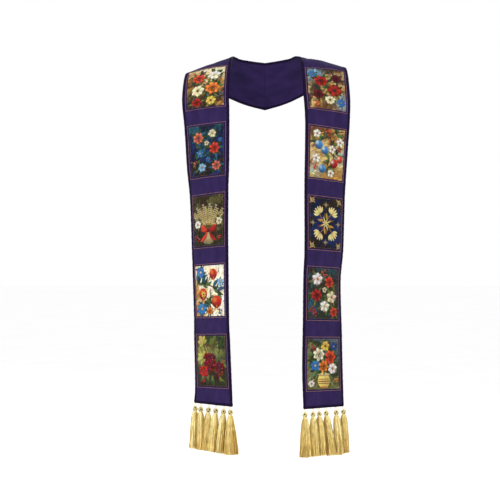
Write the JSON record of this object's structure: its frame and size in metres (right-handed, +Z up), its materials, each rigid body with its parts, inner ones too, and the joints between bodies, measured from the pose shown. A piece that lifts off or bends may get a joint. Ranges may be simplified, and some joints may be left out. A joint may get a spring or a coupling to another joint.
{
  "type": "clerical stole",
  "caption": "Worn clerical stole: purple bands with dark bindings run from a centre-back seam over the shoulders to gold-tasselled hems, each with a column of picture patches.",
  "frame": {"origin": "the middle of the wearer's neck, level with the tops of the shoulders", "axes": "+Z up along the hanging bands, the front faces -Y, the viewer's right is +X"},
  "size_m": [0.4801, 0.336, 1.1453],
  "materials": {
    "purple_cloth": "woven, soft sheen",
    "dark_binding": "satin-faced folded edge",
    "picture_cloth": "printed woven cloth in many colours",
    "gold_thread": "lustrous twisted thread"
  },
  "bodies": {
    "root": {"band_left": "purple_cloth", "binding_inner_left": "dark_binding", "binding_outer_left": "dark_binding", "binding_hem_left": "dark_binding", "picture_left_1": "picture_cloth", "picture_left_2": "picture_cloth", "picture_left_3": "picture_cloth", "picture_left_4": "picture_cloth", "picture_left_5": "picture_cloth", "tassel_left_1": "gold_thread", "tassel_left_2": "gold_thread", "tassel_left_3": "gold_thread", "tassel_left_4": "gold_thread", "tassel_left_5": "gold_thread", "tassel_left_6": "gold_thread", "band_right": "purple_cloth", "binding_inner_right": "dark_binding", "binding_outer_right": "dark_binding", "binding_hem_right": "dark_binding", "picture_right_1": "picture_cloth", "picture_right_2": "picture_cloth", "picture_right_3": "picture_cloth", "picture_right_4": "picture_cloth", "picture_right_5": "picture_cloth", "tassel_right_1": "gold_thread", "tassel_right_2": "gold_thread", "tassel_right_3": "gold_thread", "tassel_right_4": "gold_thread", "tassel_right_5": "gold_thread", "tassel_right_6": "gold_thread"}
  },
  "joints": []
}
